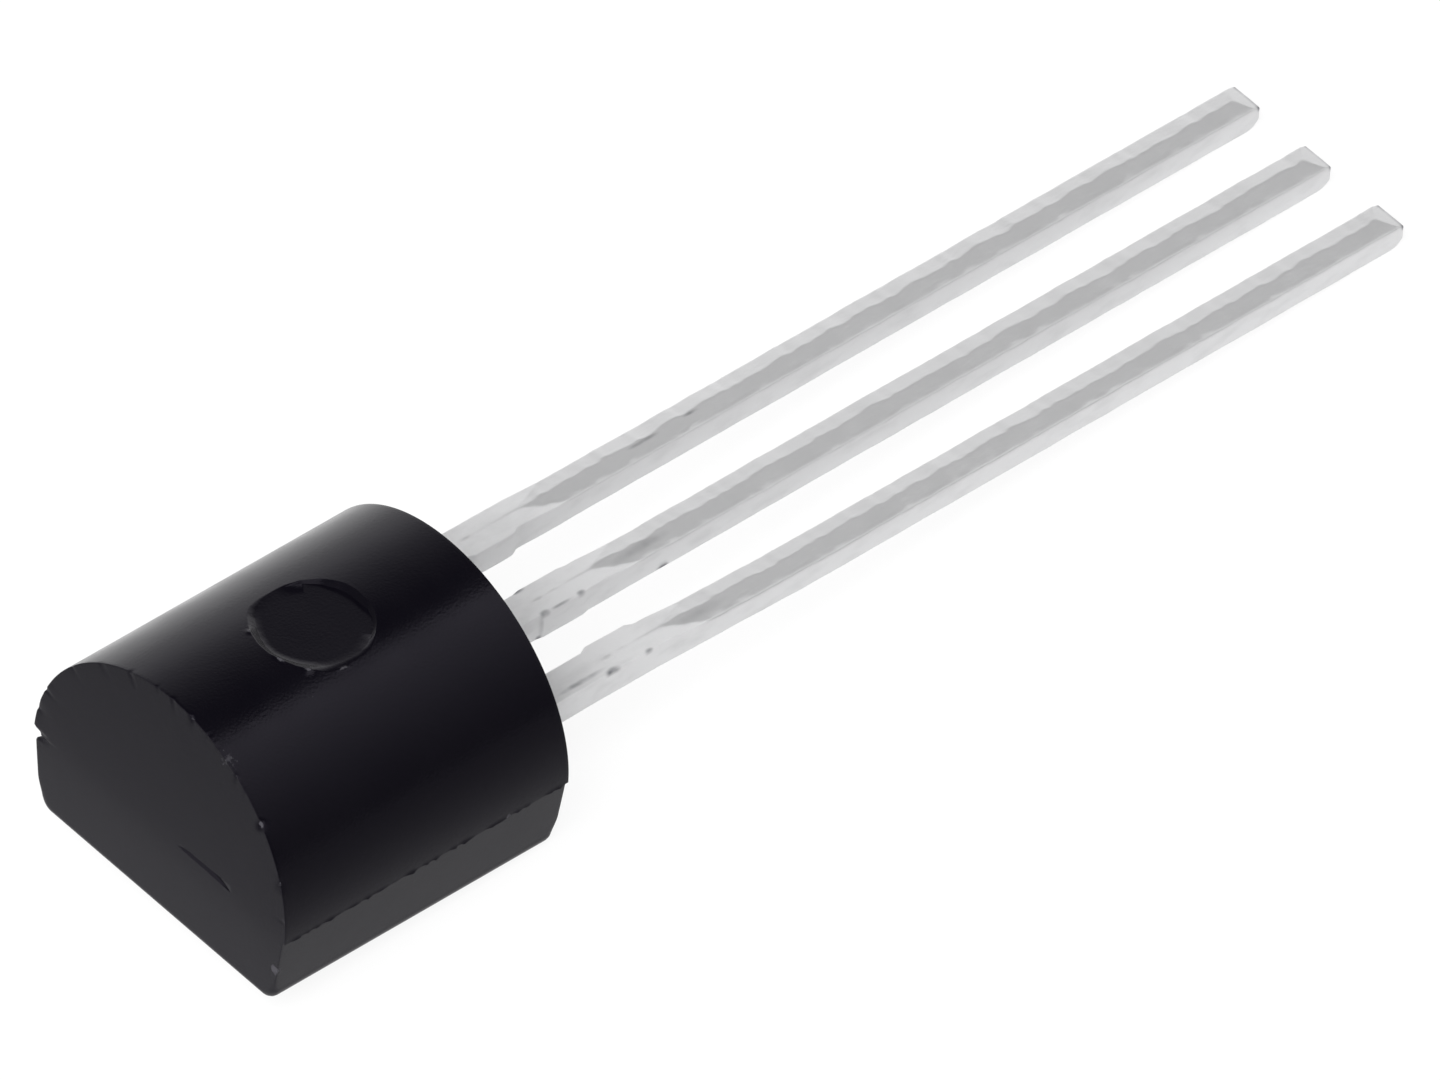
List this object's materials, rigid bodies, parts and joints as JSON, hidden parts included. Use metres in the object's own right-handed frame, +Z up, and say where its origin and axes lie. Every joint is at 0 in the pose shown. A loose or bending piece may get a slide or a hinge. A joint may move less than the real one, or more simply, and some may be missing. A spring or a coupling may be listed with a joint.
{
  "type": "to-92 transistor",
  "caption": "D-shaped black moulded transistor case with a rounded back, a flat front and a row of straight parallel tinned leads, lying on its flat.",
  "frame": {"origin": "Middle of the bounding box in X and Y, at the surface that the part lies on.", "axes": "+X from the case towards the lead tips, level; +Y from lead 3 towards lead 1; +Z up, out of the round back. The part lies as it comes to rest: on the lead-end edge of its flat face and on the three lead tips, tipped forward by 4.7 degrees."},
  "size_m": [0.018, 0.0044, 0.0037],
  "materials": {
    "moulding_compound": "black epoxy moulding compound, satin from the mould",
    "tinned_lead": "stamped copper-alloy strip, matte tin plated",
    "silicon": "polished silicon, opaque",
    "die_attach": "silver-filled epoxy",
    "bond_wire": "drawn gold wire"
  },
  "bodies": {
    "root": {"moulded_case": "moulding_compound", "lead_1": "tinned_lead", "lead_2": "tinned_lead", "lead_3": "tinned_lead", "silicon_die": "silicon", "die_attach": "die_attach", "bond_wire_1": "bond_wire", "bond_wire_3": "bond_wire"}
  },
  "joints": []
}
